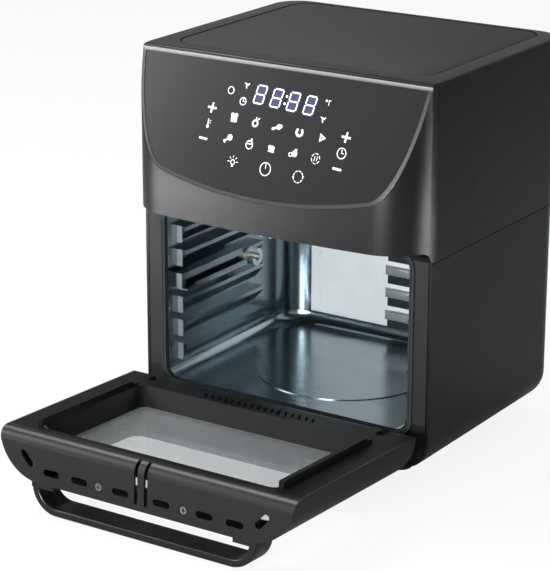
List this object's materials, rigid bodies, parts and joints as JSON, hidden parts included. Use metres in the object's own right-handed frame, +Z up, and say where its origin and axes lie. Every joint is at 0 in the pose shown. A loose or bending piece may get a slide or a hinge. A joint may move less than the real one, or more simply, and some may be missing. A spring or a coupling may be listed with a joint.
{
  "type": "air fryer oven",
  "caption": "Countertop air fryer oven with a drop-down glazed door shown open, pressed rack rails, convection fan, ring heater and a sloping touch panel.",
  "frame": {"origin": "on the surface that the feet stand on, midway between the body's sides and midway between its front and rear", "axes": "+X to the right seen from the front, +Y to the rear, +Z up; the door opens towards -Y"},
  "size_m": [0.318, 0.4903, 0.39],
  "materials": {
    "black_housing": "satin",
    "grey_lid": "fine satin",
    "panel_black": "gloss",
    "bezel_dark": "satin",
    "frame_grey": "satin",
    "door_grey": "satin",
    "door_frame_dark": "satin",
    "handle_dark": "satin",
    "clear_glass": "clear",
    "tinted_glass": "tinted",
    "chamber_steel": "bright rolled",
    "zinc_steel": "zinc plated",
    "heater_steel": "oxidised",
    "screw_steel": "satin",
    "bright_steel": "polished",
    "fan_aluminium": "rolled",
    "seal_rubber": "matte",
    "foot_rubber": "matte",
    "copper_winding": "lacquered",
    "board_green": "satin",
    "white_plastic": "satin",
    "lamp_glass": "frosted"
  },
  "bodies": {
    "frame": {"upper_housing": "black_housing", "top_plate": "grey_lid", "panel_bezel": "bezel_dark", "control_panel": "panel_black", "exhaust_grille": "black_housing", "lower_housing": "black_housing", "rear_cover": "zinc_steel", "rear_screws": "screw_steel", "base_plate": "zinc_steel", "feet": "foot_rubber", "foot_screws": "screw_steel", "cord_inlet": "black_housing", "front_frame": "frame_grey", "front_sill": "frame_grey", "mouth_seal": "seal_rubber", "chamber_left_wall": "chamber_steel", "chamber_right_wall": "chamber_steel", "chamber_back_wall": "chamber_steel", "chamber_floor": "chamber_steel", "chamber_ceiling": "chamber_steel", "heater_guard": "chamber_steel", "fan_shroud": "chamber_steel", "heater_element": "heater_steel", "heater_clips": "zinc_steel", "motor_bridge": "zinc_steel", "motor_stack": "heater_steel", "motor_coil": "copper_winding", "motor_bearings": "zinc_steel", "power_board": "board_green", "thermal_cutout": "white_plastic", "temperature_probe": "bright_steel", "spit_track": "chamber_steel", "spit_rest": "zinc_steel", "spit_motor": "zinc_steel", "lamp_lens": "lamp_glass", "lamp_holder": "zinc_steel", "lamp_bulb": "lamp_glass", "control_carrier": "white_plastic", "control_board": "board_green", "display_module": "panel_black", "interlock_switch": "white_plastic", "door_catch": "zinc_steel", "hinge_brackets": "zinc_steel"},
    "door": {"door_outer_shell": "door_grey", "door_inner_frame": "door_frame_dark", "inner_glass": "clear_glass", "outer_glass": "tinted_glass", "glass_clips": "zinc_steel", "door_screws": "screw_steel", "hinge_pins": "bright_steel", "handle": "handle_dark", "handle_screws": "screw_steel"},
    "fan_rotor": {"fan_impeller": "fan_aluminium", "motor_shaft": "bright_steel", "fan_nut": "screw_steel", "cooling_fan": "fan_aluminium", "motor_rotor": "screw_steel"},
    "spit_drive": {"spit_drive": "bright_steel"},
    "switch_plunger": {"switch_plunger": "white_plastic"}
  },
  "joints": [
    {"name": "door_hinge", "type": "hinge", "parent": "frame", "child": "door", "pos_m": [0, -0.144, 0.0375], "axis": [-1, 0, 0], "range_deg": [0, 87.5]},
    {"name": "fan_spin", "type": "hinge", "parent": "frame", "child": "fan_rotor", "pos_m": [0, 0, 0.26], "axis": [0, 0, 1], "continuous": true},
    {"name": "spit_spin", "type": "hinge", "parent": "frame", "child": "spit_drive", "pos_m": [0.13, 0.012, 0.1525], "axis": [1, 0, 0], "continuous": true},
    {"name": "switch_press", "type": "slide", "parent": "frame", "child": "switch_plunger", "axis": [0, 0, 1], "range_m": [0, 0.002], "stiffness_N_per_m": 300, "springref_m": -0.0005}
  ]
}
